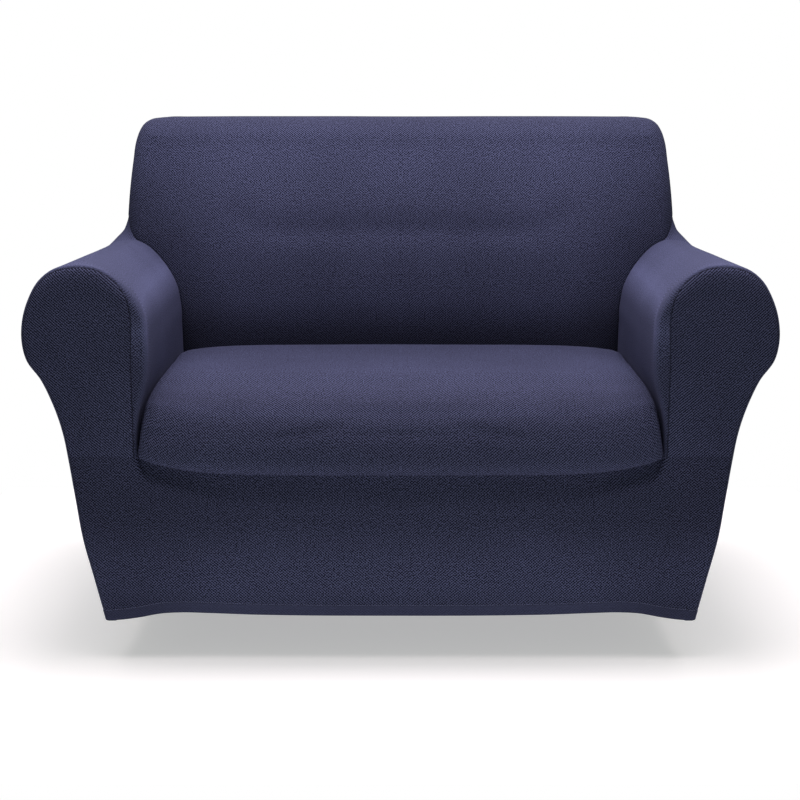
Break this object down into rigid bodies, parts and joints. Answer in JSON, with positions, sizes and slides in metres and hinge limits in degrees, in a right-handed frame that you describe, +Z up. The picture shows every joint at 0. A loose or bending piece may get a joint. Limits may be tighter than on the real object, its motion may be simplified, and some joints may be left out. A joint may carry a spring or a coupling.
{
  "type": "sofa slipcover",
  "caption": "Fitted stretch-knit slipcover for a small sofa with rolled arms: hollow, open below, sewn from shaped panels, with a plain turned hem.",
  "frame": {"origin": "centre of the cover's box in plan, at the height of the hem's lowest point", "axes": "+X across the sofa to the right arm as seen from the front, +Y from the front to the rear, +Z up"},
  "size_m": [1.293, 0.8634, 0.8678],
  "materials": {
    "navy_knit": "matt two-tone navy stretch knit with a small staggered dot, slightly sheeny at grazing angles"
  },
  "bodies": {
    "root": {"inside_back": "navy_knit", "outside_back": "navy_knit", "seat_panel": "navy_knit", "front_skirt": "navy_knit", "arm_panel_right": "navy_knit", "arm_panel_left": "navy_knit", "arm_front_right": "navy_knit", "arm_front_left": "navy_knit"}
  },
  "joints": []
}
